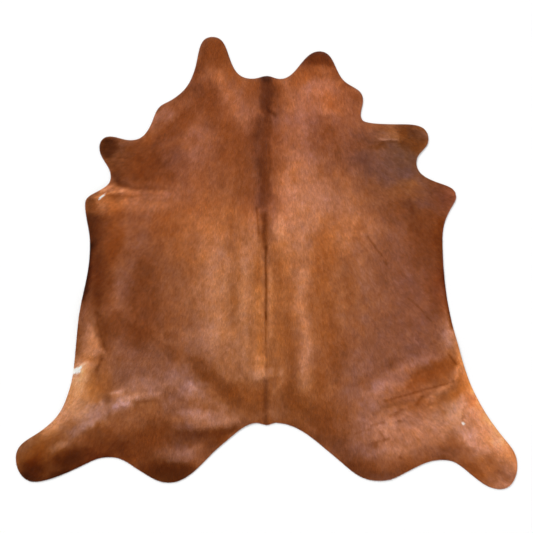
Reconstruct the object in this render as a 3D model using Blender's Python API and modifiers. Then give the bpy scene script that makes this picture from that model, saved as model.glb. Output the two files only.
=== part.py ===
"""Cowhide rug: one tanned hide with its hair left on, lying on a floor.

The neck points to +Y, the hind legs to -Y and the hair side up. The origin is at the middle of
the rug's box, on the floor. The hide is one sheet of even thickness. It lies flat, apart from
long soft folds where the leather has set in waves.
"""

import math

import bmesh
import bpy
from mathutils import Vector
from mathutils.geometry import delaunay_2d_cdt, interpolate_bezier
from mathutils.kdtree import KDTree

# Driving dimensions, in metres.
LEATHER = 0.0020  # thickness of the tanned skin
COAT = 0.0030  # depth of the short hair that lies on it
THICKNESS = LEATHER + COAT
EDGE_STEP = 0.020  # length of one facet along the cut edge
GRID_STEP = 0.050  # distance between the points inside the outline
EDGE_CLEARANCE = 0.55 * GRID_STEP  # inner points stay this far from the cut edge
SAME_POINT = 1e-6  # points nearer than this are one

# The cut edge, clockwise from the middle of the neck as seen from above: one row for each tip,
# bay and slope between them. The spine is the line x = 0. A heading is the direction of the
# edge, in degrees from +X. A pull is how far the curve holds to that heading before and after
# the row's point, as a share of the distance to the point on that side.
OUTLINE_COLUMNS = ("name", "x", "y", "heading", "pull_before", "pull_after")
OUTLINE = (
    ("spine peak", 0.000, 0.844, 0, 0.40, 0.40),
    ("right neck bay", 0.060, 0.831, 0, 0.45, 0.35),
    ("right neck tip", 0.235, 0.955, 0, 0.35, 0.40),
    ("right neck slope", 0.335, 0.835, -55, 0.40, 0.40),
    ("right shoulder", 0.425, 0.763, -62, 0.30, 0.40),
    ("right armpit", 0.430, 0.645, -50, 0.35, 0.12),
    ("right foreleg top", 0.585, 0.627, 0, 0.45, 0.45),
    ("right foreleg tip", 0.725, 0.560, -90, 0.45, 0.40),
    ("right elbow bay", 0.671, 0.457, -90, 0.40, 0.40),
    ("right elbow slope", 0.765, 0.366, -20, 0.40, 0.45),
    ("right elbow tip", 0.850, 0.300, -90, 0.40, 0.15),
    ("right waist", 0.789, 0.115, -90, 0.55, 0.25),
    ("right flank", 0.846, -0.320, -74, 0.40, 0.40),
    ("right hock", 0.948, -0.610, -62, 0.40, 0.40),
    ("right shank", 1.045, -0.760, -53, 0.40, 0.40),
    ("right hind tip", 1.125, -0.910, -90, 0.40, 0.38),
    ("right heel", 1.050, -1.014, 180, 0.38, 0.35),
    ("right heel slope", 0.917, -0.947, 141, 0.40, 0.40),
    ("right rear bay", 0.790, -0.882, 180, 0.40, 0.40),
    ("right rump slope", 0.640, -0.930, 207, 0.40, 0.40),
    ("right rump", 0.505, -0.976, 180, 0.40, 0.40),
    ("right rump inner", 0.297, -0.861, 141, 0.40, 0.35),
    ("right tail bay", 0.035, -0.715, 180, 0.35, 0.40),
    ("tail point", 0.000, -0.725, 180, 0.40, 0.40),
    ("left tail bay", -0.045, -0.715, 180, 0.40, 0.30),
    ("left rump inner", -0.200, -0.811, 219, 0.35, 0.35),
    ("left rump", -0.440, -0.984, 180, 0.32, 0.35),
    ("left rump slope", -0.580, -0.925, 148, 0.40, 0.40),
    ("left rear bay", -0.705, -0.870, 180, 0.40, 0.40),
    ("left heel slope", -0.845, -0.915, 205, 0.45, 0.35),
    ("left heel", -1.045, -0.981, 180, 0.25, 0.38),
    ("left hind tip", -1.130, -0.877, 90, 0.38, 0.40),
    ("left shank", -1.003, -0.742, 38, 0.45, 0.40),
    ("left hock", -0.887, -0.560, 74, 0.42, 0.30),
    ("left flank", -0.840, -0.205, 80, 0.30, 0.40),
    ("left waist", -0.796, 0.090, 90, 0.40, 0.40),
    ("left elbow tip", -0.817, 0.268, 90, 0.40, 0.40),
    ("left elbow shelf", -0.760, 0.325, 28, 0.40, 0.40),
    ("left elbow bay", -0.702, 0.390, 90, 0.40, 0.40),
    ("left foreleg tip", -0.753, 0.525, 90, 0.40, 0.40),
    ("left foreleg top", -0.710, 0.572, 0, 0.40, 0.40),
    ("left foreleg bay", -0.610, 0.555, 0, 0.40, 0.40),
    ("left shoulder", -0.507, 0.663, 70, 0.40, 0.55),
    ("left shoulder shelf", -0.425, 0.739, 33, 0.40, 0.40),
    ("left neck slope", -0.325, 0.873, 72, 0.42, 0.40),
    ("left neck tip", -0.246, 1.020, 0, 0.40, 0.42),
    ("left neck inner", -0.167, 0.920, -70, 0.42, 0.45),
    ("left neck bay", -0.065, 0.832, 0, 0.45, 0.45),
)

# The soft folds, as ridges under which the whole sheet is lifted off the floor. Each runs
# straight from its start to its end, is that wide to either side, and fades out at its ends.
FOLD_COLUMNS = ("name", "start", "end", "half_width", "height")
FOLDS = (
    ("left armpit", (-0.80, 0.300), (-0.50, 0.335), 0.095, 0.010),
    ("left shoulder", (-0.56, 0.470), (-0.36, 0.640), 0.130, 0.006),
    ("left flank edge", (-0.83, -0.190), (-0.78, -0.420), 0.110, 0.012),
    ("left flank branch", (-0.79, -0.400), (-0.60, -0.560), 0.120, 0.009),
    ("left thigh", (-0.88, -0.640), (-0.62, -0.720), 0.120, 0.007),
    ("left rump wave", (-0.46, -0.720), (-0.12, -0.640), 0.120, 0.008),
    ("left loin wave", (-0.42, -0.300), (-0.20, -0.500), 0.140, 0.006),
    ("right loin wave", (0.19, -0.150), (0.17, -0.500), 0.100, 0.007),
    ("right rump wave", (0.32, -0.700), (0.56, -0.780), 0.130, 0.007),
    ("right stifle", (0.46, -0.620), (0.84, -0.500), 0.095, 0.010),
    ("right groin", (0.62, -0.390), (0.86, -0.400), 0.090, 0.007),
    ("right shank wave", (0.80, -0.660), (1.02, -0.880), 0.110, 0.008),
    ("right ribs", (0.42, 0.120), (0.56, -0.200), 0.140, 0.005),
    ("right armpit", (0.66, 0.330), (0.44, 0.430), 0.110, 0.007),
    ("right neck", (0.30, 0.760), (0.20, 0.560), 0.110, 0.006),
    ("left neck", (-0.24, 0.880), (-0.14, 0.640), 0.100, 0.006),
)
FOLD_MERGE = 3  # how sharply crossing folds merge: the higher, the nearer to the higher of the two

# Finish of the hair side.
COAT_COLOUR = (0.296, 0.095, 0.038, 1.0)
COAT_ROUGHNESS = 0.62


def clear_scene():
    for obj in list(bpy.data.objects):
        bpy.data.objects.remove(obj, do_unlink=True)


def handle(point, heading, distance):
    """The end of a Bezier handle that leaves a point along a heading."""
    angle = math.radians(heading)
    return point + Vector((math.cos(angle), math.sin(angle))) * distance


def edge_stretch(row, following):
    """The facet corners of the cut edge from one row's point up to the next row's."""
    start = Vector((row["x"], row["y"]))
    end = Vector((following["x"], following["y"]))
    chord = (end - start).length
    leave = handle(start, row["heading"], chord * row["pull_after"])
    arrive = handle(end, following["heading"], -chord * following["pull_before"])
    facets = max(2, round(chord / EDGE_STEP))
    return interpolate_bezier(start, leave, arrive, end, facets + 1)[:-1]


def cut_edge():
    """The whole cut edge as a closed loop of 2D points."""
    rows = [dict(zip(OUTLINE_COLUMNS, row)) for row in OUTLINE]
    loop = []
    for index, row in enumerate(rows):
        following = rows[(index + 1) % len(rows)]
        loop += [point.to_2d() for point in edge_stretch(row, following)]
    return loop


def middle_of(loop):
    """The middle of the box round a loop of 2D points."""
    xs = [point.x for point in loop]
    ys = [point.y for point in loop]
    return Vector(((min(xs) + max(xs)) / 2, (min(ys) + max(ys)) / 2))


def inner_points(loop):
    """A triangular grid over the loop's box, without the points too near the cut edge."""
    edge = KDTree(len(loop))
    for index, point in enumerate(loop):
        edge.insert(point.to_3d(), index)
    edge.balance()
    row_step = GRID_STEP * math.sqrt(3) / 2
    columns = math.ceil(max(abs(point.x) for point in loop) / GRID_STEP) + 1
    rows = math.ceil(max(abs(point.y) for point in loop) / row_step) + 1
    points = []
    for row in range(-rows, rows + 1):
        shift = GRID_STEP / 2 if row % 2 else 0
        for column in range(-columns, columns + 1):
            point = Vector((column * GRID_STEP + shift, row * row_step))
            _, _, distance = edge.find(point.to_3d())
            if distance > EDGE_CLEARANCE:
                points.append(point)
    return points


def fold_lift(fold, point):
    """How far one fold lifts the sheet at a 2D point: a bell across it, nothing past its width."""
    start = Vector(fold["start"])
    along = Vector(fold["end"]) - start
    share = (point - start).dot(along) / along.length_squared
    nearest = start + along * min(max(share, 0), 1)
    reach = (point - nearest).length / fold["half_width"]
    if reach >= 1:
        return 0.0
    return fold["height"] * (1 - reach**2) ** 2


def lift(point):
    """Height of the underside over the floor. Folds that cross merge and don't add up."""
    folds = (dict(zip(FOLD_COLUMNS, row)) for row in FOLDS)
    total = sum(fold_lift(fold, point) ** FOLD_MERGE for fold in folds)
    return total ** (1 / FOLD_MERGE)


def sheet_mesh():
    """The underside of the hide as an open surface, triangulated inside the cut edge."""
    loop = cut_edge()
    points = loop + inner_points(loop)
    edges = [(index, (index + 1) % len(loop)) for index in range(len(loop))]
    inside = 1  # keep the triangles within the closed edge
    points, _, triangles, *_ = delaunay_2d_cdt(points, edges, [], inside, SAME_POINT)
    middle = middle_of(loop)
    bm = bmesh.new()
    corners = [bm.verts.new((*(point - middle), lift(point))) for point in points]
    for triangle in triangles:
        bm.faces.new([corners[index] for index in triangle])
    outside = [corner for corner in bm.verts if not corner.link_faces]
    bmesh.ops.delete(bm, geom=outside, context="VERTS")
    for face in bm.faces:
        if face.normal.z < 0:
            face.normal_flip()
    bm.normal_update()
    mesh = bpy.data.meshes.new("hide")
    bm.to_mesh(mesh)
    bm.free()
    return mesh


def coat_material():
    material = bpy.data.materials.new("brown hair")
    material.use_nodes = True
    shader = material.node_tree.nodes["Principled BSDF"]
    shader.inputs["Base Color"].default_value = COAT_COLOUR
    shader.inputs["Roughness"].default_value = COAT_ROUGHNESS
    shader.inputs["Metallic"].default_value = 0
    return material


def make_hide(collection):
    """The rug's one piece: the open sheet, thickened upwards from its underside."""
    hide = bpy.data.objects.new("hide", sheet_mesh())
    collection.objects.link(hide)
    hide.data.materials.append(coat_material())
    thicken = hide.modifiers.new("thickness", "SOLIDIFY")
    thicken.thickness = THICKNESS
    thicken.offset = 1
    hide.data.shade_smooth()
    return hide


def main():
    clear_scene()
    collection = bpy.data.collections.new("cowhide rug")
    bpy.context.scene.collection.children.link(collection)
    make_hide(collection)


main()
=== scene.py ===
"""Looks of the cowhide rug: its skin, its coat of short hair, the floor, the lights and the camera.

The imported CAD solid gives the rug's outline and its folds. The skin is a finer sheet on them, with
the creases added. The coat is layers of short hairs that lie on it along the animal's own growth
pattern. Lengths are in metres. Angles are in degrees, unless a comment says radians. +Y points to
the neck, and x = 0 is the spine.
"""

import math

import bmesh
import bpy
import numpy as np
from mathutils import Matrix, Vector
from mathutils.geometry import delaunay_2d_cdt


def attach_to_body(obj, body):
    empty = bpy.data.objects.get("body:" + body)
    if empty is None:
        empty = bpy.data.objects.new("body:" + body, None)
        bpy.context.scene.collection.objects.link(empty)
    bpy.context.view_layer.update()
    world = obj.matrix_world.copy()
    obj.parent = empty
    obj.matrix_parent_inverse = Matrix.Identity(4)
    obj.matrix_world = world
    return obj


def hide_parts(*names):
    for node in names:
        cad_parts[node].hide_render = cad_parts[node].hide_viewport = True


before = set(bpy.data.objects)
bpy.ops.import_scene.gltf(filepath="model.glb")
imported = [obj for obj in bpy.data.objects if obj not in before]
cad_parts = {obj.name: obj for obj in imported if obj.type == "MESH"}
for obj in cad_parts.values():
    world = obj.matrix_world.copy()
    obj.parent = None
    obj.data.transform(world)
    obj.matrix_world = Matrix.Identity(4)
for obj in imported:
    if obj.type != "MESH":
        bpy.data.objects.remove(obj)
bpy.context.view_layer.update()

# -------------------- driving sizes
HIDE = 0.005  # thickness of the CAD solid: the skin and the coat on it
LEATHER = 0.002  # thickness of the skin alone
SKIN_STEP = 0.010  # distance between the skin's points
EDGE_STEP = 0.008  # the same along its cut edge
EDGE_GAP = 0.6 * SKIN_STEP  # least distance from a point inside to the cut edge
FACET_BLUR = 0.022  # the CAD solid's facets are smoothed over this distance

COAT_LAYERS = 4  # pieces that the coat is made in, each spread over the whole hide
LAYER_HAIRS = 185_000
HAIR_LENGTH = 0.016
HAIR_WIDTH = 0.0013
HAIR_LIFT = 0.0022  # height of a hair's tip over the skin
OVERHANG = 0.0028  # how far the trimmed hair reaches past the cut edge

# The first seed of each kind of random field.
SEEDS = {"lie": 11, "tone": 21, "rose": 26, "edges": 31, "streaks": 41, "spots": 51, "puckers": 61}
COAT_SEED = 7


# -------------------- soft random fields
class Cloud:
    """Smooth random values from about -1 to 1. The size is that of one blot."""

    CELLS = 128

    def __init__(self, size, seed):
        self.size = size
        self.values = np.random.default_rng(seed).uniform(-1, 1, (self.CELLS, self.CELLS))

    def __call__(self, points):
        spot = points / self.size
        cell = np.floor(spot).astype(int)
        across, up = eased(spot - cell).T
        column, row = cell.T % self.CELLS
        right, above = (column + 1) % self.CELLS, (row + 1) % self.CELLS
        low = self.values[row, column] * (1 - across) + self.values[row, right] * across
        high = self.values[above, column] * (1 - across) + self.values[above, right] * across
        return low * (1 - up) + high * up


def eased(share):
    """A share from 0 to 1 that starts and ends gently."""
    return share * share * (3 - 2 * share)


# -------------------- the lie of the hair
# Where the hair points on the right half of the hide: the place, the angle from +X, and how far it
# is felt. The left half mirrors it.
FLOW = (
    ("neck", 0, 0.8, -90, 0.25),
    ("neck lobe", 0.24, 0.88, -80, 0.15),
    ("shoulder", 0.3, 0.55, -66, 0.2),
    ("foreleg", 0.62, 0.56, -15, 0.14),
    ("elbow", 0.76, 0.3, -30, 0.14),
    ("withers", 0, 0.4, -90, 0.25),
    ("back", 0, 0, -90, 0.3),
    ("ribs", 0.35, 0.1, -64, 0.22),
    ("belly", 0.7, 0.05, -46, 0.2),
    ("loin", 0, -0.5, -90, 0.25),
    ("flank", 0.6, -0.3, -60, 0.18),
    ("groin", 0.86, -0.45, -65, 0.14),
    ("hip", 0.3, -0.55, -76, 0.2),
    ("rump", 0.45, -0.88, -80, 0.16),
    ("thigh", 0.75, -0.72, -50, 0.16),
    ("hind leg", 1.02, -0.9, -48, 0.16),
)
SWIRLS = ((0.17, 0.16), (0.045, 0.12))  # random turns of the hair: size, turn in radians
FAINT = 1e-9  # a least weight, for places that no row reaches


def hair_lie(points):
    """Unit vectors along the hair at some 2D points."""
    side = np.where(points[:, 0] < 0, -1.0, 1.0)
    total = np.zeros((2, len(points)))
    for _, x, y, heading, reach in FLOW:
        distance = np.hypot(np.abs(points[:, 0]) - x, points[:, 1] - y)
        weight = np.exp(-0.5 * (distance / reach) ** 2) + FAINT
        total[0] += weight * math.cos(math.radians(heading))
        total[1] += weight * math.sin(math.radians(heading))
    angle = np.arctan2(total[1], total[0])
    for index, (size, turn) in enumerate(SWIRLS):
        angle += turn * Cloud(size, SEEDS["lie"] + index)(points)
    return np.stack([np.cos(angle) * side, np.sin(angle)], 1)


# -------------------- colour of the coat
# Two things vary. tone is the logarithm of how light the hair looks: its own colour, and in some rows
# painted light and painted shade on folds, creases and rims. rose is painted sheen: it runs from a
# warm orange brown, below 0, to the cool pinkish sheen of hair that lies another way, above 0.
SADDLE = np.array([0.396, 0.124, 0.044])
TONE_AXIS = np.array([0.97, 1.41, 2.05])
ROSE_SHEEN_AXIS = np.array([-0.375, -0.23, 0.385])

# Patches, strokes and areas are in millimetres, and their tone and rose in hundredths.
MM, HUNDREDTH = 0.001, 0.01

# Soft oval patches: centre, half-lengths along and across, turn from +X, tone, rose.
PATCHES = (
    # along the spine
    ("back, left of the spine", -130, -130, 380, 150, 90, 29, -16),
    ("withers, light fleck", 26, 178, 20, 40, 0, 20, 8),
    ("withers, dark fleck", 82, 165, 22, 35, 0, -16, 0),
    ("loin, dark fleck", 26, -475, 25, 25, 0, -20, -20),
    ("loin, light fleck", -74, -475, 25, 25, 0, 20, 0),
    ("poll, violet line", -3, 665, 22, 45, 0, -15, 20),
    # the dark stripe of the neck
    ("neck", -3, 775, 110, 33, 90, -68, 50),
    ("neck edge", 35, 755, 70, 22, 90, -15, 0),
    ("poll", 3, 840, 26, 30, 0, -74, 30),
    ("by the knot", 40, 672, 70, 18, 0, -17, 0),
    ("rosy side", 40, 640, 50, 30, 90, -5, 40),
    ("withers", -5, 450, 240, 29, 88, -56, 10),
    ("low and rosy", 5, 260, 70, 35, 90, 3, 22),
    ("end", -15, 235, 22, 10, 0, 22, 20),
    # left neck
    ("orange rim", -140, 860, 60, 30, -50, 0, -28),
    ("tip", -225, 960, 80, 70, 0, -50, -38),
    ("tip, rosy rim", -285, 970, 35, 22, 75, 8, 42),
    ("fleck of light", -235, 850, 50, 35, -60, 16, -20),
    ("by the stripe", -60, 790, 60, 35, 90, -18, -18),
    ("rim", -300, 880, 60, 30, 75, -25, -3),
    ("inner rim", -190, 890, 60, 30, -60, -4, -26),
    ("light", -165, 755, 120, 45, -65, 28, -16),
    ("rose", -90, 660, 60, 40, 90, 16, 10),
    ("dark", -270, 745, 100, 55, -55, -34, -22),
    ("violet", -310, 770, 40, 30, 90, 0, 35),
    ("light rim", -335, 820, 28, 30, 0, 24, 14),
    # left shoulder
    ("blade", -280, 220, 220, 110, 0, 12, -34),
    ("rosy", -360, 450, 70, 55, 0, 12, 22),
    ("bright", -280, 660, 50, 35, 0, 12, -12),
    ("point", -450, 670, 45, 35, 30, 27, 25),
    ("dark", -400, 620, 120, 38, 38, -30, -28),
    ("rose", -310, 540, 100, 80, 90, 22, 16),
    ("violet", -430, 460, 70, 70, 0, -15, 24),
    ("fleck", -455, 465, 25, 20, 0, 22, 15),
    ("rosy band", -440, 565, 80, 30, 20, -10, 26),
    ("warm spot", -340, 540, 45, 35, 0, 0, -26),
    ("dark rim", -480, 695, 30, 15, 40, -30, -10),
    ("brown", -395, 665, 30, 40, 0, -22, 0),
    # left withers
    ("warm", -200, 640, 80, 60, 0, -2, -16),
    ("low and warm", -170, 450, 180, 60, 90, 2, -20),
    ("upper", -210, 610, 90, 35, -20, -16, 4),
    ("dark", -140, 530, 100, 80, 0, -26, -18),
    ("lower", -100, 350, 110, 45, 90, -20, -16),
    ("bright spot", -160, 585, 55, 28, 0, 16, -15),
    ("dark fleck", -55, 605, 45, 35, 90, -28, 0),
    # left foreleg
    ("broad", -560, 450, 130, 100, 0, -45, -10),
    ("warm", -580, 430, 100, 55, 20, -5, -40),
    ("tip", -715, 520, 50, 40, -30, -110, 18),
    ("violet", -655, 480, 70, 42, -60, -1, 48),
    ("warm edge", -530, 560, 50, 25, 35, -14, -35),
    ("tip, top", -705, 557, 40, 16, 0, -55, 15),
    ("rosy top", -630, 540, 45, 20, 0, 4, 42),
    # left armpit: over, lit end and lit rim are painted light on its fold, under and corner painted
    # shade
    ("under", -500, 375, 120, 25, 0, -16, -12),
    ("over", -570, 268, 140, 38, 3, 38, -20),
    ("corner", -655, 350, 40, 14, -20, -30, 0),
    ("lit end", -490, 312, 70, 20, 0, 32, 5),
    ("lit rim", -725, 337, 40, 18, 30, 50, -40),
    ("violet", -640, 385, 50, 35, 0, -6, 45),
    # left elbow
    ("orange", -730, 290, 45, 25, 0, 0, -42),
    ("point", -795, 265, 25, 25, 0, -45, 0),
    # left chest
    ("bright", -300, 110, 110, 90, 0, 14, -5),
    ("orange", -330, 30, 80, 45, 0, 0, -24),
    ("side", -730, 250, 80, 45, 0, 27, -22),
    ("light", -380, 350, 70, 50, 0, 10, -6),
    ("warm", -475, 170, 100, 60, 0, -16, -30),
    ("rosy fleck", -475, 275, 35, 25, 0, 0, 24),
    ("warm dip", -410, 100, 90, 35, -15, 0, -20),
    # left ribs
    ("dark", -560, -140, 260, 75, 90, -42, -5),
    ("rose", -635, -80, 200, 40, 90, 24, 40),
    ("light", -350, -150, 70, 45, 90, 16, 0),
    ("warm", -680, 150, 170, 45, 90, -28, -50),
    ("upper", -660, 30, 90, 50, 90, -30, -28),
    ("upper light", -550, 60, 60, 45, 90, 20, 0),
    ("orange", -410, 20, 70, 45, 90, 0, -18),
    ("outer dark", -685, -100, 45, 28, 90, -20, 0),
    ("low and dark", -425, -325, 40, 22, 0, -20, 0),
    ("lower", -460, -240, 60, 50, 90, -17, 0),
    # left back
    ("light column", -260, -140, 300, 65, 90, 24, 0),
    ("orange", -130, 50, 60, 40, 90, 0, -18),
    ("bright", -65, 120, 110, 30, 90, 18, 0),
    # left loin
    ("light", -270, -330, 150, 60, 0, 16, 4),
    ("dark streak", -140, -170, 90, 20, 90, -20, -5),
    ("bright", -20, -505, 50, 26, 0, 32, 2),
    ("by the line", -40, -40, 50, 18, 90, -20, -5),
    ("warm", -100, -190, 55, 30, 0, 0, -16),
    ("violet", -280, -410, 90, 70, 90, 5, 26),
    # left flank
    ("dark", -680, -285, 75, 60, 0, -38, 4),
    ("by the rim", -735, -90, 130, 40, 90, -38, -10),
    ("violet", -620, -370, 120, 45, -10, 5, 30),
    # left groin
    ("rose", -500, -500, 270, 100, -8, 8, 48),
    ("light", -803, -450, 120, 34, 80, 26, -30),
    ("low light", -830, -630, 90, 50, 60, 34, -25),
    ("warm", -750, -550, 90, 50, 70, -5, -55),
    ("warm spot", -765, -430, 35, 30, 0, 0, -32),
    ("light end", -830, -520, 50, 25, 10, 16, 6),
    # left hip
    ("violet side", -480, -390, 80, 60, 0, 0, 24),
    ("warm side", -450, -550, 50, 40, 0, 0, -20),
    ("dark fleck", -440, -400, 60, 30, -40, -26, -5),
    ("violet", -320, -340, 80, 60, 0, 5, 14),
    ("dark", -287, -482, 130, 38, -35, -22, -24),
    ("light", -375, -545, 115, 44, -35, 36, 8),
    ("light end", -430, -625, 35, 30, 0, 16, 0),
    ("dark dip", -355, -608, 40, 18, 0, -18, 0),
    ("outer dark", -560, -340, 80, 50, 0, -24, -5),
    ("warm end", -287, -515, 35, 28, 0, -18, -32),
    # left stifle
    ("light spot", -660, -625, 50, 22, 20, 12, 0),
    ("light middle", -560, -555, 110, 45, 10, 32, -4),
    ("light", -625, -617, 65, 32, 15, 46, 12),
    ("fleck", -665, -580, 45, 14, 12, 34, 0),
    ("rose", -640, -645, 70, 25, 20, 24, 28),
    # left thigh
    ("light", -800, -715, 60, 35, 25, 26, 10),
    ("dark fleck", -500, -722, 70, 34, -10, -34, -5),
    ("inner light", -770, -675, 100, 50, 15, 45, 42),
    ("rose", -840, -755, 60, 30, 25, 36, 46),
    ("dark", -740, -775, 80, 40, 10, -32, -10),
    # left tail
    ("dark", -90, -610, 150, 60, -15, -26, -22),
    ("light", -270, -690, 140, 35, -8, 16, 22),
    ("warm", -100, -570, 140, 40, -5, -9, -22),
    ("light middle", -300, -685, 70, 22, -10, 18, 0),
    ("rim, warm", -205, -768, 60, 25, 25, 0, -20),
    # left rump
    ("dark", -530, -810, 130, 80, 0, -55, -26),
    ("violet hollow", -370, -755, 75, 45, 0, 8, 55),
    ("violet", -400, -640, 85, 50, -20, -2, 42),
    ("low and dark", -460, -900, 130, 45, 5, -25, -16),
    ("inner edge", -240, -800, 70, 35, 35, -20, 0),
    ("rose", -410, -855, 110, 46, 0, 40, 70),
    ("upper rose", -430, -800, 60, 22, 0, 0, 20),
    ("under the tail", -340, -800, 90, 30, 15, -40, 34),
    ("edge", -250, -830, 80, 30, 42, -32, 2),
    ("tip", -440, -950, 150, 60, 0, -122, 2),
    ("outer dark", -590, -875, 80, 30, 15, -32, -20),
    ("low light", -400, -890, 45, 12, 0, 24, 20),
    # left hind leg
    ("rear bay", -710, -840, 120, 40, 5, -15, -24),
    ("tip", -1040, -930, 48, 55, 0, -104, -58),
    ("brown", -1000, -880, 120, 45, 10, -12, -38),
    ("dark edge", -892, -890, 65, 32, 12, -40, -12),
    ("fleck", -880, -612, 32, 20, 0, -24, -22),
    ("tip, warm", -1040, -860, 50, 50, 0, -5, -50),
    ("shank light", -935, -830, 55, 19, 25, 46, 18),
    ("shank dark", -870, -865, 80, 35, 12, -42, -14),
    # right neck
    ("orange side", 100, 730, 60, 35, 90, 0, -24),
    ("broad", 140, 660, 220, 85, 90, 27, 2),
    ("tip", 225, 940, 70, 42, 0, -65, -10),
    ("inner rim", 165, 845, 80, 40, 40, -28, -42),
    ("upper", 275, 850, 70, 35, -40, -6, -36),
    ("by the stripe", 55, 760, 70, 30, 90, -20, -10),
    ("light", 240, 800, 90, 50, 0, 28, 12),
    ("orange", 290, 730, 90, 60, -45, 5, -45),
    ("streak", 270, 685, 60, 20, -20, 26, 0),
    ("point", 405, 725, 22, 22, 0, -14, 0),
    ("tip, dark side", 275, 905, 30, 28, 0, -22, -6),
    ("light rim", 335, 838, 25, 30, 0, 22, 10),
    # right shoulder
    ("blade", 320, 240, 150, 100, 90, 28, -5),
    ("grey", 545, 452, 165, 86, 0, -12, 106),
    ("low rose", 250, 450, 70, 50, 0, 13, 12),
    ("violet", 380, 500, 90, 75, 0, -18, 34),
    ("rose", 200, 550, 100, 40, 90, 2, 24),
    ("dark", 270, 585, 50, 35, 0, -20, 0),
    ("pale", 250, 310, 100, 60, 90, 10, -4),
    # right withers
    ("broad", 140, 240, 270, 110, 90, 50, -15),
    ("rose", 180, 650, 130, 40, 0, 3, 26),
    ("brown", 180, 550, 100, 40, 0, -14, -6),
    ("orange", 100, 370, 80, 35, 60, 0, -25),
    ("warm", 55, 510, 140, 35, 90, -15, -12),
    ("bright", 60, 160, 70, 35, 90, 28, -22),
    # right foreleg
    ("violet tip", 680, 585, 55, 28, -15, 6, 72),
    ("rim", 650, 612, 60, 18, 0, -26, 10),
    ("tip", 650, 560, 70, 55, -30, -58, -20),
    ("light", 540, 570, 60, 22, 0, 14, -12),
    ("grey", 470, 575, 90, 35, 0, -12, 50),
    ("grey edge", 580, 535, 70, 22, 0, 0, 30),
    ("dark", 500, 530, 40, 15, 0, -28, -40),
    ("warm hollow", 672, 498, 25, 30, 0, -18, -36),
    # right armpit
    ("violet", 680, 385, 80, 38, -20, 0, 58),
    ("rose", 580, 370, 110, 28, 0, 4, 18),
    ("dark", 540, 310, 100, 45, -30, -13, 0),
    # right elbow
    ("tip", 800, 310, 70, 45, -30, -12, 10),
    ("dark lip", 735, 345, 50, 22, -25, -16, 0),
    ("broad", 760, 285, 90, 70, -20, -18, 48),
    ("rose", 680, 265, 80, 20, 0, 5, 40),
    ("dark", 610, 230, 100, 55, 0, -28, 8),
    # right chest
    ("brisket", 700, 100, 130, 75, 90, -46, -28),
    ("dark", 420, 165, 35, 30, 0, -28, 10),
    ("rosy spot", 250, 245, 35, 45, 0, 0, 16),
    ("pale", 430, 170, 80, 50, -30, 12, 0),
    ("warm", 340, 125, 110, 60, 50, 0, -38),
    # right ribs
    ("mid", 410, 60, 160, 80, 60, 16, -5),
    ("rose", 600, -200, 360, 200, 80, -2, 55),
    ("warm", 500, -130, 140, 90, 90, 0, -24),
    ("orange fleck", 530, 45, 30, 45, 0, 0, -24),
    ("pale", 340, -190, 100, 35, 90, 27, 5),
    ("warm spot", 430, -285, 75, 30, -20, 2, -22),
    ("pale, outer", 450, -130, 130, 50, 90, 13, 5),
    # right side
    ("rosy cast", 420, 230, 260, 200, 0, 3, 14),
    ("warm", 765, 170, 100, 35, 90, -16, -22),
    ("dark", 755, -110, 150, 45, 90, -30, -14),
    # right back
    ("warm", 260, -70, 330, 60, 90, -6, -40),
    ("dark start", 165, -10, 45, 22, 0, -6, -10),
    ("rosy spot", 300, -80, 60, 30, 90, 8, 30),
    # right loin
    ("warm", 70, -200, 340, 60, 90, 6, -40),
    ("dark", 322, -460, 130, 36, 90, -18, -5),
    ("warm dark", 250, -540, 70, 50, 90, -16, -25),
    ("by the line", 50, -50, 60, 22, 90, -14, 0),
    # right flank
    ("rose", 740, -380, 120, 65, 25, 0, 24),
    ("edge, light", 835, -280, 90, 20, -75, 40, 0),
    ("rosy rim", 782, -290, 28, 95, 5, 6, 20),
    # right groin
    ("warm rim", 865, -525, 30, 30, 0, 0, -28),
    ("warm", 865, -575, 50, 28, 25, -2, -45),
    ("light fleck", 735, -622, 35, 16, 15, 20, 0),
    # right hip
    ("rose", 420, -580, 200, 100, 80, 15, 38),
    ("brown spot", 450, -550, 45, 30, 20, -24, -5),
    ("light", 550, -560, 80, 35, 30, 26, 0),
    ("dark", 310, -660, 110, 60, 0, -20, -30),
    ("pale", 470, -635, 70, 30, 10, 24, 5),
    # right stifle
    ("rose", 550, -540, 80, 40, 25, 0, 34),
    ("under crease", 650, -630, 100, 22, 15, -10, -40),
    ("warm", 770, -480, 100, 50, 25, -18, -30),
    ("below", 670, -570, 140, 50, 20, 4, -18),
    # right thigh
    ("rosy", 520, -720, 100, 90, 0, 6, 12),
    ("rosy rim", 860, -640, 60, 40, 45, 10, 20),
    ("light", 620, -750, 220, 90, 0, 46, 8),
    ("pale", 810, -690, 90, 70, 0, 24, 5),
    # right tail
    ("bright", 40, -490, 35, 20, 0, 25, 10),
    ("rim, rose", 310, -820, 30, 45, 0, 2, 20),
    ("rose", 50, -620, 60, 70, 0, 20, 28),
    # right rump
    ("dark middle", 420, -730, 45, 22, 0, -20, 0),
    ("violet rim", 540, -950, 70, 25, 15, 10, 20),
    ("fleck", 480, -815, 22, 16, 20, -40, 0),
    ("light", 380, -815, 45, 35, 0, 24, 5),
    ("pale", 500, -845, 150, 32, 0, 30, 16),
    ("violet", 420, -850, 130, 50, -20, 0, 45),
    ("brown", 420, -925, 90, 35, -10, -45, 0),
    # right hind leg
    ("shank, light", 955, -735, 170, 100, -50, 62, -6),
    ("light middle", 870, -800, 90, 35, -10, 22, 0),
    ("orange", 1000, -910, 60, 35, -40, 0, -42),
    ("heel rim", 1060, -1005, 50, 20, 0, 40, 5),
    ("dark fleck", 925, -615, 24, 24, 0, -26, 0),
    ("warm rim", 975, -705, 30, 30, 0, 0, -26),
    ("rear bay, light", 832, -862, 35, 28, 0, 22, 2),
    ("tip, rosy under", 980, -975, 40, 20, -15, 20, 24),
    ("rear bay, violet", 760, -845, 100, 28, -5, -2, 34),
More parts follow.
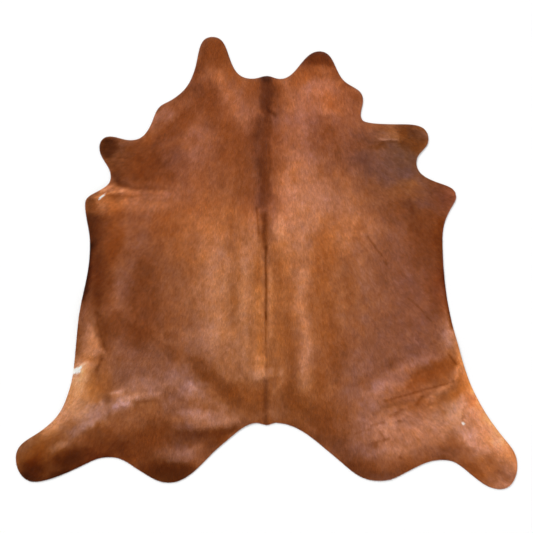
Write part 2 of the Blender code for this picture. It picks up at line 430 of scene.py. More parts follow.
    ("shank, rosy", 950, -850, 50, 40, 0, 16, 16),
    ("shank, bright", 890, -790, 60, 40, 0, 18, 10),
    ("shank, dark", 955, -812, 45, 22, -20, -14, 0),
    ("heel, violet", 1090, -950, 50, 50, 0, 30, 24),
    ("shank, warm", 1040, -840, 90, 50, -45, 24, -32),
    ("heel, warm", 940, -940, 80, 30, -40, -34, -40),
)
PATCH_END = 2  # half-lengths from its centre, a patch has faded away

# Soft strokes: corners of the line, half-width, tone, rose.
STROKES = (
    # along the spine
    ("light edge of the line", ((18, -30), (19, -160), (17, -330)), 10, 20, -12),
    ("orange edge of the line, lower", ((-34, -140), (-30, -460)), 30, 5, -48),
    ("tail rim", ((-220, -775), (-100, -728), (0, -715), (120, -728), (240, -800)), 18, -30, 0),
    ("orange edge of the line, upper", ((-30, 120), (-31, -100)), 24, 0, -28),
    # the dark stripe of the neck
    ("knot", ((6, 688), (42, 666)), 9, -50, 0),
    ("tail", ((-4, -530), (-4, -730)), 12, -35, 30),
    ("violet", ((-30, 650), (-44, 580), (-34, 400), (-32, 270)), 23, -24, 50),
    # the line of the back
    ("back", ((-3, 70), (-2, -100), (-3, -250)), 6, -70, 0),
    ("loin", ((-3, -220), (-4, -360)), 4.5, -32, 0),
    ("low", ((-2, -330), (-2, -530)), 4.5, -22, 0),
    ("between", ((-16, 210), (-14, 70)), 14, -30, 5),
    ("left branch", ((-44, 250), (-41, 200), (-34, 130)), 5, -42, -10),
    ("withers", ((-8, 220), (-6, 120), (-3, 70)), 13, -44, 0),
    # left neck
    ("outer rim", ((-325, 880), (-350, 800), (-390, 750)), 28, -34, 10),
    # left shoulder
    ("lit edge", ((-518, 598), (-495, 660)), 14, 36, 5),
    # left armpit: fold is painted light on the fold; crease, shade and dark crease are painted shade
    ("crease", ((-695, 400), (-660, 355), (-600, 338), (-460, 332)), 10, -28, 10),
    ("shade", ((-700, 440), (-660, 375)), 26, -34, -4),
    ("fold", ((-720, 325), (-660, 330), (-580, 310)), 20, 40, -22),
    ("cream streak", ((-765, 294), (-705, 312), (-640, 326)), 7, 36, -30),
    ("dark crease", ((-715, 303), (-620, 299), (-560, 306)), 7, -24, -10),
    # left ribs
    ("pale streak", ((-530, 240), (-560, 120), (-600, 0)), 24, 16, 28),
    # left side: painted shade along the rim and just inside it
    ("rim", ((-800, 200), (-790, 90)), 34, -86, 50),
    ("rim, middle", ((-797, 60), (-800, -20), (-815, -100), (-832, -180)), 28, -64, 10),
    ("inside the rim", ((-752, 200), (-748, 50), (-772, -155)), 40, -52, -3),
    ("rim, low", ((-795, 80), (-798, -20), (-812, -110), (-824, -160)), 12, -125, 0),
    # left back
    ("column", ((-95, 50), (-100, -200), (-90, -460)), 22, 20, 0),
    ("outer column", ((-175, 20), (-190, -140)), 25, 18, 0),
    ("dark column", ((-150, 330), (-156, 160), (-150, 40)), 20, -12, 0),
    # left flank: fold is painted light on the fold, fold's edge and fold's shade painted shade beside
    # it
    ("violet rim", ((-800, -130), (-825, -270)), 26, 4, 46),
    ("fold", ((-792, -290), (-780, -330), (-760, -370), (-735, -404)), 14, 24, -15),
    ("fold's edge", ((-765, -250), (-742, -330), (-718, -400)), 6, -28, 0),
    ("fleck", ((-768, -222), (-752, -238)), 8, -45, 0),
    ("fold's shade", ((-765, -190), (-722, -380)), 22, -28, -10),
    # left groin: dark rim is painted shade along the rim, second fold painted light on a fold, wrinkle
    # painted shade
    ("dark rim", ((-850, -280), (-861, -350), (-874, -455)), 10, -85, -25),
    ("rim", ((-850, -480), (-870, -560), (-920, -670), (-980, -735)), 52, 74, -12),
    ("second fold", ((-803, -443), (-836, -461)), 8, 45, 5),
    ("halo", ((-830, -475), (-800, -455)), 12, 16, 2),
    ("wrinkle", ((-738, -430), (-762, -480)), 8, -42, 0),
    # left hip
    ("edge", ((-345, -535), (-265, -600), (-190, -655)), 20, 26, 10),
    # left stifle
    ("upper fleck", ((-700, -583), (-650, -572)), 7, 34, 10),
    ("lower fleck", ((-665, -605), (-635, -640), (-620, -625)), 9, 22, 10),
    ("dark edge", ((-600, -628), (-500, -615)), 8, -26, -5),
    ("light edge", ((-640, -603), (-560, -600), (-490, -583)), 12, 22, 0),
    # left thigh
    ("dark line", ((-475, -675), (-455, -720), (-435, -785)), 22, -22, 0),
    ("fleck", ((-750, -626), (-735, -632)), 8, 32, 10),
    ("gap", ((-710, -612), (-703, -690)), 16, -28, 2),
    # left tail
    ("rim", ((-400, -765), (-280, -765), (-150, -740)), 20, -60, 0),
    # left hind leg: tip, under and under edge are painted shade along the lower rim
    ("tip, under", ((-1090, -955), (-1050, -980), (-970, -980), (-900, -955)), 20, -80, 20),
    ("lower side", ((-1080, -920), (-920, -910), (-780, -870), (-680, -845)), 65, -75, 5),
    ("upper side", ((-1020, -820), (-950, -785)), 30, -30, -42),
    ("under edge", ((-960, -960), (-880, -932), (-800, -905), (-720, -878)), 19, -72, -30),
    # right neck
    ("rim", ((300, 890), (360, 800)), 20, -22, -30),
    ("dot", ((246, 593), (251, 593)), 8, 35, 10),
    # right foreleg
    ("bright line", ((505, 556), (590, 556)), 5, 30, 10),
    ("dark line", ((460, 545), (610, 545)), 6, -28, 10),
    # right elbow
    ("smudge", ((640, 285), (650, 255), (655, 232)), 10, -26, 0),
    ("dark rim", ((700, 388), (780, 358), (840, 335)), 15, -30, 0),
    # right ribs
    ("scratch", ((458, 115), (490, 70), (519, 32)), 5, -34, 0),
    ("fleck", ((532, 2), (540, -4)), 8, -40, 0),
    # right side: painted shade along the rim
    ("rim", ((799, 170), (798, 90), (806, -60)), 36, -78, -42),
    ("rim, low", ((802, -30), (808, -100), (822, -180), (838, -280)), 14, -120, -40),
    # right back
    ("light column", ((168, -50), (150, -140), (155, -210), (180, -300), (182, -400), (165, -550)),
     33, 48, -8),
    ("outer column", ((365, 20), (360, -200)), 28, -20, -10),
    ("dark column", ((300, -260), (290, -450)), 35, -12, -10),
    # right flank
    ("edge, light", ((808, -280), (822, -360)), 22, 42, 20),
    ("scratch", ((638, -159), (690, -205), (736, -257)), 5, -28, 0),
    # right groin: small crease is painted shade in a crease
    ("sliver", ((740, -600), (800, -560), (850, -510), (856, -470)), 12, 42, -5),
    ("small crease", ((820, -410), (855, -460)), 6, -45, 0),
    # right hip
    ("fleck", ((676, -634), (698, -600)), 6, -42, -5),
    # right stifle: crease and crease, start are painted shade in its crease, light and shade are
    # painted light and painted shade on the fold above it
    ("crease", ((530, -620), (620, -595), (700, -570), (800, -545), (840, -530)), 4.5, -42, -10),
    ("crease, start", ((560, -613), (680, -577)), 4, -20, 0),
    ("light", ((450, -570), (620, -470), (720, -430)), 35, 28, 0),
    ("shade", ((400, -545), (500, -490), (580, -440)), 22, -24, 0),
    ("brown band", ((730, -640), (810, -612), (870, -578)), 18, -12, -20),
    # right thigh
    ("upper scratch", ((560, -690), (610, -660)), 7, -40, 0),
    ("dot", ((595, -708), (607, -713)), 6, -40, 0),
    ("outer dot", ((795, -668), (805, -672)), 7, -36, 0),
    ("light dot", ((735, -649), (742, -649)), 6, 40, 0),
    # right tail
    ("rim", ((100, -600), (160, -650), (270, -750), (380, -880)), 65, -45, -18),
    ("column", ((85, -220), (100, -350), (112, -480), (100, -580)), 22, -16, -5),
    ("arc", ((20, -470), (65, -475), (72, -530), (35, -580)), 13, 26, 5),
    ("rim, violet", ((210, -760), (280, -820), (400, -930), (500, -970), (600, -945)), 28, 0, 38),
    # right rump
    # rim is painted shade along the lower rim
    ("rim", ((460, -970), (600, -940), (720, -900), (820, -885)), 30, -42, 0),
    ("scratch", ((470, -730), (530, -715)), 5, -36, 0),
    ("outer scratch", ((400, -765), (470, -745)), 5, -36, 0),
    ("flecks", ((510, -760), (530, -790)), 7, -40, 0),
    ("fleck's tail", ((495, -805), (550, -790)), 6, -42, 0),
    ("low dots", ((600, -870), (606, -875)), 6, -40, 0),
    # right hind leg
    ("rim", ((870, -380), (920, -520), (990, -660), (1090, -800), (1140, -900)), 36, 38, -60),
    ("rim, inner", ((860, -430), (890, -550), (930, -630)), 30, 16, -40),
    ("rim, orange", ((885, -410), (905, -480), (935, -580)), 16, 44, -12),
    ("heel, dark streak", ((1045, -935), (1090, -965)), 12, -32, 0),
    ("shank, dot", ((880, -696), (890, -692)), 6, -40, 0),
)
STROKE_END = 2.2  # half-widths from its line, a stroke has faded away

# Areas with a clear edge: corners, how far the edge fades to either side, tone, rose.
AREAS = (
    ("left hip, dark",
     ((-365, -408), (-250, -440), (-220, -505), (-140, -550), (-90, -620), (-160, -655), (-200, -600),
      (-315, -508)),
     12, -24, -5),
    ("left tail, light band",
     ((-400, -665), (-300, -655), (-140, -675), (-120, -700), (-170, -735), (-360, -745)),
     10, 26, 5),
    ("left loin, bright streak", ((-55, -525), (-6, -525), (-4, -410), (-45, -420)), 8, 24, 2),
    ("right stifle, deep",
     ((660, -490), (760, -445), (820, -420), (850, -460), (850, -480), (820, -495), (720, -525),
      (630, -560)),
     18, -26, -36),
    ("right thigh, brown wedge", ((840, -745), (775, -830), (840, -870), (905, -830)), 10, -26, 0),
    ("right neck tip, edge", ((120, 895), (200, 895), (320, 885), (300, 970), (160, 970)), 10, -38, 0),
    ("right foreleg, light", ((508, 552), (592, 552), (588, 590), (520, 592)), 8, 12, 14),
    ("left flank, lit fold",
     ((-800, -280), (-775, -315), (-728, -405), (-790, -425), (-835, -400), (-830, -330)),
     14, 30, 2),
)

# The edges of all three are ragged: size of the blots, and how far they shift an edge, in metres.
RAGGED = ((0.060, 0.012), (0.020, 0.007))
RAGGED_WIDTH = 40  # a stroke this wide would be as ragged as a patch
STROKE_RAGGED, AREA_RAGGED = 0.5, 0.6  # a stroke's most and an area's, as shares of a patch's

# A broad undertone, from foxy red, below 0, to olive, above 0: centre and reach in metres, amount.
UNDERTONES = (
    ("withers", 0, 0.52, 0.16, -0.03),
    ("back", -0.1, -0.12, 0.26, 0.035),
    ("loin", -0.08, -0.52, 0.3, 0.04),
    ("tail", 0.16, -0.64, 0.11, 0.028),
    ("withers, low", -0.01, 0.27, 0.1, -0.06),
    # left
    ("neck", -0.25, 0.76, 0.24, -0.045),
    ("shoulder", -0.4, 0.42, 0.24, -0.05),
    ("ribs", -0.62, 0.18, 0.16, -0.025),
    ("foreleg tip", -0.74, 0.52, 0.1, 0.06),
    ("elbow", -0.81, 0.28, 0.07, 0.045),
    ("stifle", -0.6, -0.58, 0.2, 0.028),
    ("groin", -0.87, -0.54, 0.12, 0.075),
    ("flank", -0.78, -0.32, 0.09, 0.03),
    ("thigh", -0.8, -0.68, 0.11, 0.028),
    ("ribs, low", -0.6, -0.28, 0.15, -0.018),
    ("side rim", -0.83, -0.04, 0.06, -0.09),
    ("hind leg, under", -0.77, -0.9, 0.06, -0.09),
    ("hind leg", -1.04, -0.88, 0.2, 0.085),
    ("rump tip", -0.44, -0.98, 0.1, 0.07),
    # right
    ("neck", 0.28, 0.75, 0.3, -0.07),
    ("foreleg", 0.62, 0.5, 0.17, 0.095),
    ("side", 0.7, -0.08, 0.28, -0.03),
    ("ribs", 0.43, -0.12, 0.22, 0.024),
    ("stifle", 0.65, -0.57, 0.08, -0.034),
    ("flank", 0.76, -0.41, 0.08, -0.022),
    ("thigh", 0.84, -0.66, 0.09, 0.045),
    ("side rim", 0.83, -0.1, 0.08, -0.1),
    ("elbow", 0.83, 0.3, 0.09, -0.09),
    ("groin", 0.84, -0.36, 0.09, 0.045),
    ("shank", 0.94, -0.63, 0.06, -0.065),
)
OLIVE_AXIS = np.array([-0.63, 0.75, -0.21])

# White spots: centre and radius in metres.
SPOTS = (
    ("right thigh", 0.884, -0.722, 0.006),
    # left armpit
    ("outer", -0.744, 0.2935, 0.005),
    ("end", -0.7485, 0.2875, 0.003),
    ("middle", -0.739, 0.2985, 0.0042),
    ("tip", -0.733, 0.3028, 0.0048),
    ("fleck", -0.7245, 0.3115, 0.0025),
    # left groin tuft
    ("outer", -0.868, -0.487, 0.013),
    ("middle", -0.855, -0.485, 0.013),
    ("inner", -0.845, -0.48, 0.011),
    ("tip", -0.835, -0.47, 0.007),
)
SPOT_GRAIN, SPOT_NOTCH = 0.006, 0.35  # notches in their edges: size, depth as a share of the radius
WHITE = np.array([1.35, 1.30, 1.18])  # over 1, because a hair's root and its shadows dim it

# Natural unevenness of tone, and uneven painted sheen in rose, from broad to fine: size, tone, rose.
CLOUDS = (
    (0.09, 0.055, 0.11),
    (0.04, 0.07, 0.13),
    (0.018, 0.085, 0.13),
    (0.008, 0.115, 0.12),
    (0.0045, 0.08, 0.05),
)

# Streaks that follow the hair: width, length, tone, rose.
STREAKS = ((0.016, 0.090, 0.035, 0.05), (0.006, 0.050, 0.030, 0.03))
STREAK_STEPS = 7  # places along a streak that add up to it


def add_patches(points, fields):
    for _, x, y, along, across, turn, tone, rose in PATCHES:
        cos, sin = math.cos(math.radians(turn)), math.sin(math.radians(turn))
        dx, dy = points[:, 0] - x, points[:, 1] - y
        reach = np.hypot((dx * cos + dy * sin) / along, (dy * cos - dx * sin) / across)
        near = reach < PATCH_END
        fields[near] += np.exp(-(reach[near, None] ** 4)) * (tone, rose)


def add_strokes(points, shift, fields):
    """Broad strokes have ragged edges. Thin ones keep to their line."""
    for _, line, width, tone, rose in STROKES:
        raggedness = min(STROKE_RAGGED, width / RAGGED_WIDTH)
        distance = line_distance(points + shift * raggedness, line)
        near = distance < STROKE_END * width
        fields[near] += np.exp(-((distance[near, None] / width) ** 2)) * (tone, rose)


def add_areas(points, fields):
    for _, corners, fade, tone, rose in AREAS:
        depth = line_distance(points, (*corners, corners[0]))
        depth[~inside(points, corners)] *= -1
        share = eased((0.5 + depth / (2 * fade)).clip(0, 1))
        fields += share[:, None] * (tone, rose)


def inside(points, corners):
    """Which points lie in a polygon: those that have an odd number of its sides to their right."""
    odd = np.zeros(len(points), bool)
    for (start_x, start_y), (end_x, end_y) in zip(corners, (*corners[1:], corners[0])):
        beside = (points[:, 1] < start_y) != (points[:, 1] < end_y)
        climb = (points[beside, 1] - start_y) / (end_y - start_y or 1)
        odd[beside] ^= points[beside, 0] < start_x + climb * (end_x - start_x)
    return odd


def line_distance(points, line):
    """Distance from each point to a line with corners."""
    nearest = np.full(len(points), np.inf)
    for start, end in zip(line, line[1:]):
        from_start, along = points - start, np.subtract(end, start)
        share = (from_start @ along / (along @ along)).clip(0, 1)
        away = from_start - share[:, None] * along
        nearest = np.minimum(nearest, np.hypot(away[:, 0], away[:, 1]))
    return nearest


def ragged_shift(points):
    """How far a ragged edge is off its place at each point."""
    shift = np.zeros((len(points), 2))
    for index, (size, reach) in enumerate(RAGGED):
        seed = SEEDS["edges"] + 2 * index
        shift += reach * np.stack([Cloud(size, seed)(points), Cloud(size, seed + 1)(points)], 1)
    return shift


def add_grain(points, lie, fields):
    for index, (size, tone, rose) in enumerate(CLOUDS):
        fields[:, 0] += tone * Cloud(size, SEEDS["tone"] + index)(points)
        fields[:, 1] += rose * Cloud(size, SEEDS["rose"] + index)(points)
    steps = np.linspace(-0.5, 0.5, STREAK_STEPS)
    for index, (width, length, tone, rose) in enumerate(STREAKS):
        cloud = Cloud(width, SEEDS["streaks"] + index)
        streak = sum(cloud(points + lie * (length * step)) for step in steps)
        fields += streak[:, None] / math.sqrt(STREAK_STEPS) * (tone, rose)


def coat_fields(points, lie):
    """Tone and rose at some 2D points, as an array of pairs."""
    place, shift = points / MM, ragged_shift(points) / MM
    fields = np.zeros((len(points), 2))
    add_patches(place + shift, fields)
    add_strokes(place, shift, fields)
    add_areas(place + AREA_RAGGED * shift, fields)
    fields *= HUNDREDTH
    add_grain(points, lie, fields)
    return fields


def undertone(points):
    olive = np.zeros((len(points), 1))
    for _, x, y, reach, amount in UNDERTONES:
        distance = np.hypot(points[:, :1] - x, points[:, 1:] - y)
        olive += amount * np.exp(-((distance / reach) ** 2))
    return olive


def coat_colour(points, lie):
    """Colour of the coat at some 2D points, where the hair lies along some directions."""
    fields = coat_fields(points, lie)
    # tone carries painted light and shade of folds, creases and rims; rose carries painted sheen
    shift = fields[:, :1] * TONE_AXIS + fields[:, 1:] * ROSE_SHEEN_AXIS + undertone(points) * OLIVE_AXIS
    colour = SADDLE * np.exp(shift)
    notched = 1 + SPOT_NOTCH * Cloud(SPOT_GRAIN, SEEDS["spots"])(points)
    for _, x, y, radius in SPOTS:
        reach = np.hypot(points[:, 0] - x, points[:, 1] - y) / (radius * notched)
        share = np.exp(-(reach**4))[:, None]
        colour = colour * (1 - share) + WHITE * share
    return colour


# -------------------- the skin
# Creases on top of the CAD solid's folds, in metres: corners of the ridge, half-width, height.
CREASES = (
    ("back, right of the line", ((0.012, 0.2), (0.012, -0.5)), 0.012, 0.0008),
    ("back, left of the line", ((-0.012, 0.2), (-0.012, -0.52)), 0.012, 0.0008),
    # left
    ("armpit", ((-0.72, 0.335), (-0.62, 0.31), (-0.46, 0.308)), 0.03, 0.004),
    ("flank", ((-0.81, -0.21), (-0.785, -0.32), (-0.75, -0.41)), 0.03, 0.0045),
    ("stifle", ((-0.72, -0.61), (-0.63, -0.595), (-0.54, -0.6)), 0.028, 0.003),
    ("thigh", ((-0.9, -0.77), (-0.8, -0.7), (-0.72, -0.67)), 0.035, 0.003),
    ("hip", ((-0.33, -0.51), (-0.22, -0.63)), 0.03, 0.003),
    ("tail", ((-0.4, -0.715), (-0.26, -0.73), (-0.15, -0.725)), 0.028, 0.0025),
    # right
    ("groin", ((0.6, -0.5), (0.74, -0.445), (0.84, -0.42)), 0.04, 0.0035),
    ("stifle", ((0.53, -0.63), (0.7, -0.59), (0.84, -0.555)), 0.022, 0.0024),
    ("thigh", ((0.48, -0.7), (0.62, -0.69), (0.78, -0.66)), 0.035, 0.0025),
    ("armpit", ((0.5, 0.545), (0.6, 0.555)), 0.025, 0.002),
)
PUCKERS = ((0.160, 0.0016), (0.060, 0.0006))  # low swells of the skin: size, height
UPWARD = 0.5  # least z of the normal of a face that looks up
WELD = 1e-5  # corners of the CAD mesh closer than this are one
CHUNK = 4000  # points handled at a time, so that a table of distances stays small
INSIDE_ONLY = 1  # makes the triangulation fill the outline, not its hull
SAME = 1e-6  # points closer than this are one in it


def cad_top():
    """The CAD solid's upper corners, and its cut edge as a closed loop of 2D points."""
    bm = bmesh.new()
    bm.from_mesh(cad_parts["hide"].data)
    bmesh.ops.remove_doubles(bm, verts=bm.verts, dist=WELD)
    bm.normal_update()
    top = {face for face in bm.faces if face.normal.z > UPWARD}
    upper = [corner for corner in bm.verts if any(face in top for face in corner.link_faces)]
    rim = [edge for edge in bm.edges if sum(face in top for face in edge.link_faces) == 1]
    corners = np.array([corner.co for corner in upper])
    loop = np.array([corner.co.xy for corner in in_order(rim)])
    bm.free()
    return corners, loop


def in_order(rim):
    """The corners of a closed rim of edges, one after the other from its topmost corner."""
    beside = {}
    for edge in rim:
        for corner in edge.verts:
            beside.setdefault(corner, []).append(edge.other_vert(corner))
    here = max(beside, key=lambda corner: corner.co.y)
    loop = []
    while here is not None:
        loop.append(here)
        onward = [corner for corner in beside.pop(here) if corner in beside]
        here = onward[0] if onward else None
    return loop


def rounded(loop):
    """The loop's facets as smooth curves through the same corners (Catmull-Rom)."""
    rows = zip(np.roll(loop, 1, 0), loop, np.roll(loop, -1, 0), np.roll(loop, -2, 0))
    points = []
    for before, start, end, after in rows:
        count = max(1, round(math.dist(start, end) / EDGE_STEP))
        leave, arrive = (end - before) / 2, (after - start) / 2
        for t in np.arange(count) / count:
            bend = (leave + arrive - 2 * (end - start)) * t + 3 * (end - start) - 2 * leave - arrive
            points.append(start + (leave + bend * t) * t)
    return np.array(points)


def chunks(points):
    return [slice(start, start + CHUNK) for start in range(0, len(points), CHUNK)]


def distance_to(points, targets):
    """Distance from each point to the nearest target."""
    squares = [((points[part, None] - targets) ** 2).sum(2).min(1) for part in chunks(points)]
    return np.sqrt(np.concatenate(squares))


def hexagonal_grid(low, high, step):
    rows = np.arange(low[1], high[1], step * math.sqrt(3) / 2)
    columns = np.arange(low[0], high[0], step)
    x, y = np.meshgrid(columns, rows)
    x[1::2] += step / 2
    return np.stack([x.ravel(), y.ravel()], 1)


def smoothed_top(points, corners):
    """Height of the CAD solid's top without its facets: a mean of the corners near each point."""
    heights = np.empty(len(points))
    for part in chunks(points):
        squares = ((points[part, None] - corners[:, :2]) ** 2).sum(2)
        squares -= squares.min(1, keepdims=True)
        weights = np.exp(-squares / (2 * FACET_BLUR**2))
        heights[part] = weights @ corners[:, 2] / weights.sum(1)
    return heights


def skin_heights(points, corners):
    """Height of the skin's hair side over the floor."""
    height = smoothed_top(points, corners) - (HIDE - LEATHER)
    for _, line, half_width, ridge in CREASES:
        reach = line_distance(points, line) / half_width
        height += ridge * (1 - reach.clip(0, 1) ** 2) ** 2
    for index, (size, pucker) in enumerate(PUCKERS):
        height += pucker * Cloud(size, SEEDS["puckers"] + index)(points).clip(0, 1)
    return height


def triangulated(loop, inner):
    """Triangles that face up and fill a loop, through its corners and the points inside it."""
    edges = [(index, (index + 1) % len(loop)) for index in range(len(loop))]
    flat = [Vector(point) for point in (*loop, *inner)]
    flat, _, faces, *_ = delaunay_2d_cdt(flat, edges, [], INSIDE_ONLY, SAME)
    used, faces = np.unique(np.array(faces), return_inverse=True)
    flat, faces = np.array(flat)[used], faces.reshape(-1, 3)
    a, b, c = flat[faces].transpose(1, 0, 2)
    downward = np.cross(b - a, c - a) < 0
    faces[downward] = faces[downward, ::-1]
    return flat, faces


def skin_surface():
    """The hair side of the skin: its points, its triangles and each point's distance to the edge."""
    corners, loop = cad_top()
    loop = rounded(loop)
    grid = hexagonal_grid(loop.min(0), loop.max(0), SKIN_STEP)
    flat, faces = triangulated(loop, grid[distance_to(grid, loop) > EDGE_GAP])
    points = np.column_stack([flat, skin_heights(flat, corners)])
    return points, faces, distance_to(flat, loop)


def make_skin(points, faces):
    """The skin as a thin sheet: hair side up, suede below, a pale cut edge between them."""
    mesh = bpy.data.meshes.new("skin")
    mesh.from_pydata(points.tolist(), [], faces.tolist())
    flat = points[:, :2]
    paint(mesh, coat_colour(flat, hair_lie(flat)) * UNDERCOAT)
    mesh.shade_smooth()
    for material in (undercoat_material(), suede_material(), cut_edge_material()):
        mesh.materials.append(material)
    skin = link(bpy.data.objects.new("skin", mesh))
    thicken = skin.modifiers.new("thickness", "SOLIDIFY")
    thicken.thickness = LEATHER
    thicken.offset = -1
    thicken.material_offset = 1
    thicken.material_offset_rim = 2
    return skin


def paint(mesh, colours):
    """Gives each vertex its colour."""
    layer = mesh.color_attributes.new(PAINT, "FLOAT_COLOR", "POINT")
    rgba = np.ones((len(colours), 4), np.float32)
    rgba[:, :3] = colours.clip(0, 1)
    layer.data.foreach_set("color", rgba.ravel())


def link(piece):
    bpy.context.scene.collection.objects.link(piece)
    return piece


# -------------------- the coat
PAINT = "coat"  # name of the vertex colours
UNDERCOAT = 0.55  # how dark the skin is between the hairs
# painted shade at a hair's root and painted light at its tip
HAIR_ROOT_SHADE_TIP_LIGHT = np.array([0.72, 1.12, 0.72])  # of a hair's three corners: root, tip, root
HAIR_SPREAD = 0.15  # random turn of a hair, in radians
HAIR_TONES = 0.09  # random tone of a hair
HAIR_ROLL = 0.25  # random rise of a hair's side, as a share of its half width
# Random ranges, as shares of the driving sizes.
LENGTHS, OVERHANGS, WIDTHS, LIFTS = (0.75, 1.2), (0.5, 1.2), (0.8, 1.2), (0.5, 1.3)


def roots_on(points, faces, edge_distance, count, generator):
    """Roots spread evenly over the skin, with the skin's slope and the distance to its edge."""
    a, b, c = points[faces].transpose(1, 0, 2)
    normal = np.cross(b - a, c - a)
    area = np.cumsum(np.linalg.norm(normal, axis=1))
    shares = (np.arange(count) + generator.uniform(0, 1, count)) / count
    face = np.searchsorted(area, shares * area[-1])
    u, v = generator.uniform(0, 1, (2, count))
    outside = u + v > 1
    u[outside], v[outside] = 1 - u[outside], 1 - v[outside]
    weights = np.stack([1 - u - v, u, v], 1)
    roots = (points[faces[face]] * weights[:, :, None]).sum(1)
    slope = -normal[face, :2] / normal[face, 2:]
    return roots, slope, (edge_distance[faces[face]] * weights).sum(1)


def turned(vectors, angles):
    """Some 2D vectors, each turned by its angle in radians."""
    cos, sin = np.cos(angles), np.sin(angles)
    x, y = vectors.T
    return np.stack([x * cos - y * sin, x * sin + y * cos], 1)


def hair_corners(roots, slope, edge_distance, along, generator):
    """The three corners of each hair: its tip, between the two sides of its root."""
    count = len(roots)
    length = HAIR_LENGTH * generator.uniform(*LENGTHS, count)
    length = np.minimum(length, edge_distance + OVERHANG * generator.uniform(*OVERHANGS, count))
    half = HAIR_WIDTH / 2 * generator.uniform(*WIDTHS, count)
    lift = HAIR_LIFT * generator.uniform(*LIFTS, count) * (length / HAIR_LENGTH)
    roll = generator.normal(0, HAIR_ROLL, count) * half
    step = along * length[:, None]
    side = turned(along, np.full(count, math.pi / 2)) * half[:, None]
    left = np.column_stack([-side, -roll])
    tip = np.column_stack([step, (slope * step).sum(1) + lift])
    return roots[:, None] + np.stack([left, tip, -left], 1)


def make_coat_layer(name, surface, material, generator):
    """One layer of the coat as a single mesh: each hair is a long thin triangle."""
    roots, slope, edge_distance = roots_on(*surface, LAYER_HAIRS, generator)
    lie = hair_lie(roots[:, :2])
    along = turned(lie, generator.normal(0, HAIR_SPREAD, LAYER_HAIRS))
    corners = hair_corners(roots, slope, edge_distance, along, generator)
    middle = (roots[:, :2] + corners[:, 1, :2]) / 2
    tint = coat_colour(middle, lie) * np.exp(generator.normal(0, HAIR_TONES, (LAYER_HAIRS, 1)))
    mesh = triangles_mesh(name, corners)
    # each hair gets painted shade at its root and painted light at its tip
    paint(mesh, (tint[:, None] * HAIR_ROOT_SHADE_TIP_LIGHT[:, None]).reshape(-1, 3))
    mesh.materials.append(material)
    return link(bpy.data.objects.new(name, mesh))


def triangles_mesh(name, corners):
    """A mesh of loose triangles, with a UV map that looks straight down on them."""
    count = len(corners)
    mesh = bpy.data.meshes.new(name)
    mesh.vertices.add(3 * count)
    mesh.vertices.foreach_set("co", corners.astype(np.float32).ravel())
    mesh.loops.add(3 * count)
    mesh.loops.foreach_set("vertex_index", np.arange(3 * count, dtype=np.int32))
    mesh.polygons.add(count)
    mesh.polygons.foreach_set("loop_start", np.arange(0, 3 * count, 3, dtype=np.int32))
    mesh.update(calc_edges=True)
    flat = corners[:, :, :2].reshape(-1, 2)
    uv = (flat - flat.min(0)) / np.ptp(flat, axis=0)
    mesh.uv_layers.new(name="OFBake").uv.foreach_set("vector", uv.astype(np.float32).ravel())
    return mesh


# -------------------- materials
SUEDE = ((0.50, 0.42, 0.33, 1), (0.66, 0.59, 0.49, 1))  # darkest and lightest
CUT_LEATHER = ((0.20, 0.12, 0.07, 1), (0.38, 0.27, 0.18, 1))
FLOOR_WHITE = (0.95, 0.95, 0.95, 1)
NOISE_LOW, NOISE_HIGH = 0.3, 0.7  # most values of a noise lie between these


def new_material(name):
    material = bpy.data.materials.new(name)
    material.use_nodes = True
    return material, material.node_tree


def finished(material, inputs):
    """The material with some inputs of its shader filled."""
    fill(material.node_tree, material.node_tree.nodes["Principled BSDF"], inputs)
    return material


def fill(tree, node, inputs):
    """Sets each named input of a node to a value, or links it to another node's output."""
    for name, value in inputs.items():
        if isinstance(value, bpy.types.NodeSocket):
            tree.links.new(value, node.inputs[name])
        else:
            node.inputs[name].default_value = value


def noise(tree, scale, detail=3):
    place = tree.nodes.new("ShaderNodeTexCoord")
    node = tree.nodes.new("ShaderNodeTexNoise")
    fill(tree, node, {"Vector": place.outputs["Object"], "Scale": scale, "Detail": detail})
    return node.outputs["Fac"]


def in_range(tree, value, low, high):
    """Some noise with most of its values between low and high."""
    node = tree.nodes.new("ShaderNodeMapRange")
    ends = {"From Min": NOISE_LOW, "From Max": NOISE_HIGH, "To Min": low, "To Max": high}
    fill(tree, node, {"Value": value, **ends})
    return node.outputs["Result"]


def mixed(tree, blend, factor, first, second):
    node = tree.nodes.new("ShaderNodeMix")
    node.data_type = "RGBA"
    node.blend_type = blend
    fill(tree, node, {"Factor": factor, "A": first, "B": second})
    return node.outputs["Result"]


def bumped(tree, height, distance):
    bump = tree.nodes.new("ShaderNodeBump")
    fill(tree, bump, {"Distance": distance, "Strength": 1, "Height": height})
    return bump.outputs["Normal"]


def painted(tree, shade):
    """The vertex colours, each multiplied by a shade."""
    node = tree.nodes.new("ShaderNodeVertexColor")
    node.layer_name = PAINT
    return mixed(tree, "MULTIPLY", 1, node.outputs["Color"], shade)


def hair_material():
    """Glossy short hair: each hair brings its own colour, and oily patches shine a little more."""
    material, tree = new_material("hair")
    inputs = {
        "Base Color": painted(tree, in_range(tree, noise(tree, scale=14), 0.94, 1.06)),
        "Roughness": in_range(tree, noise(tree, scale=9), 0.42, 0.62),
        "Specular IOR Level": 0.2,
        "Specular Tint": (1.0, 0.5, 0.25, 1),
        "Sheen Weight": 0.02,
        "Sheen Roughness": 0.35,
        "Sheen Tint": (1.0, 0.72, 0.55, 1),
    }
    return finished(material, inputs)


def undercoat_material():
    """The hair side of the skin, seen between the hairs."""
    material, tree = new_material("undercoat")
    pores = noise(tree, scale=900, detail=2)
    inputs = {
        "Base Color": painted(tree, in_range(tree, pores, 0.75, 1.15)),
        "Roughness": 0.8,
        "Normal": bumped(tree, pores, distance=0.0004),
    }
    return finished(material, inputs)


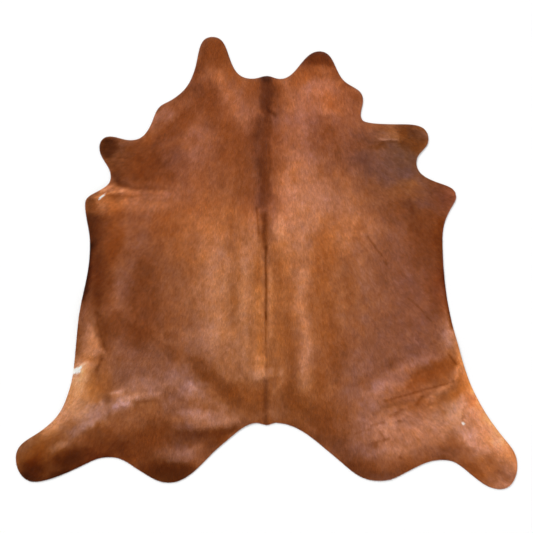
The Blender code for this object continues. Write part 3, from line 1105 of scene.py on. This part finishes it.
def suede_material():
    """The back of the skin: pale chrome-tanned suede with a short nap."""
    material, tree = new_material("suede")
    clouds = in_range(tree, noise(tree, scale=7, detail=4), 0, 1)
    inputs = {
        "Base Color": mixed(tree, "MIX", clouds, *SUEDE),
        "Roughness": in_range(tree, noise(tree, scale=60), 0.82, 0.98),
        "Sheen Weight": 0.3,
        "Sheen Roughness": 0.6,
        "Normal": bumped(tree, noise(tree, scale=700, detail=4), distance=0.0005),
    }
    return finished(material, inputs)


def cut_edge_material():
    material, tree = new_material("cut edge")
    fibres = in_range(tree, noise(tree, scale=500), 0, 1)
    colour = mixed(tree, "MIX", fibres, *CUT_LEATHER)
    return finished(material, {"Base Color": colour, "Roughness": 0.85})


def floor_material():
    material, _ = new_material("floor")
    return finished(material, {"Base Color": FLOOR_WHITE, "Roughness": 0.7})


# -------------------- the stage
FLOOR_SIZE = 15.0
FLOOR_CELLS = 8
FLOOR_DROP = 0.0005  # the floor lies this much below the rug's underside
SKY_STRENGTH = 0.62
KEY_STRENGTH = 2.5
KEY_SOFTNESS = 30  # angle that the key light fills in the sky
KEY_TILT, KEY_TURN = 56, -150  # from straight down, and from +Y
LENS, SENSOR = 85.0, 36.0  # millimetres
VIEW_WIDTH = 2.3985
VIEW_MIDDLE = (0.0002, -0.0158)
FAR = 60  # the camera sees nothing past this


def make_floor():
    mesh = bpy.data.meshes.new("floor")
    bm = bmesh.new()
    bmesh.ops.create_grid(bm, x_segments=FLOOR_CELLS, y_segments=FLOOR_CELLS, size=FLOOR_SIZE)
    bm.to_mesh(mesh)
    bm.free()
    mesh.materials.append(floor_material())
    floor = link(bpy.data.objects.new("floor", mesh))
    floor.location.z = -FLOOR_DROP


def make_lights():
    world = bpy.data.worlds.new("studio")
    world.use_nodes = True
    sky = world.node_tree.nodes["Background"]
    sky.inputs["Color"].default_value = (1, 1, 1, 1)
    sky.inputs["Strength"].default_value = SKY_STRENGTH
    bpy.context.scene.world = world
    key = bpy.data.lights.new("soft key", "SUN")
    key.energy = KEY_STRENGTH
    key.angle = math.radians(KEY_SOFTNESS)
    lamp = link(bpy.data.objects.new("soft key", key))
    lamp.rotation_euler = (math.radians(KEY_TILT), 0, math.radians(KEY_TURN))


def make_camera():
    """A camera straight above the rug, with the photograph's framing."""
    camera = link(bpy.data.objects.new("camera", bpy.data.cameras.new("camera")))
    camera.data.lens = LENS
    camera.data.sensor_width = SENSOR
    camera.data.clip_end = FAR
    camera.location = (*VIEW_MIDDLE, VIEW_WIDTH * LENS / SENSOR)
    bpy.context.scene.camera = camera
    bpy.context.scene.view_settings.view_transform = "Standard"


# -------------------- put together
def attach(piece):
    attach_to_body(piece, "root")
    return piece


def main():
    generator = np.random.default_rng(COAT_SEED)
    surface = skin_surface()
    skin = attach(make_skin(*surface[:2]))
    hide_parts("hide")
    material = hair_material()
    coat = [
        attach(make_coat_layer(f"coat_{layer + 1}", surface, material, generator))
        for layer in range(COAT_LAYERS)
    ]
    make_floor()
    make_lights()
    make_camera()


main()
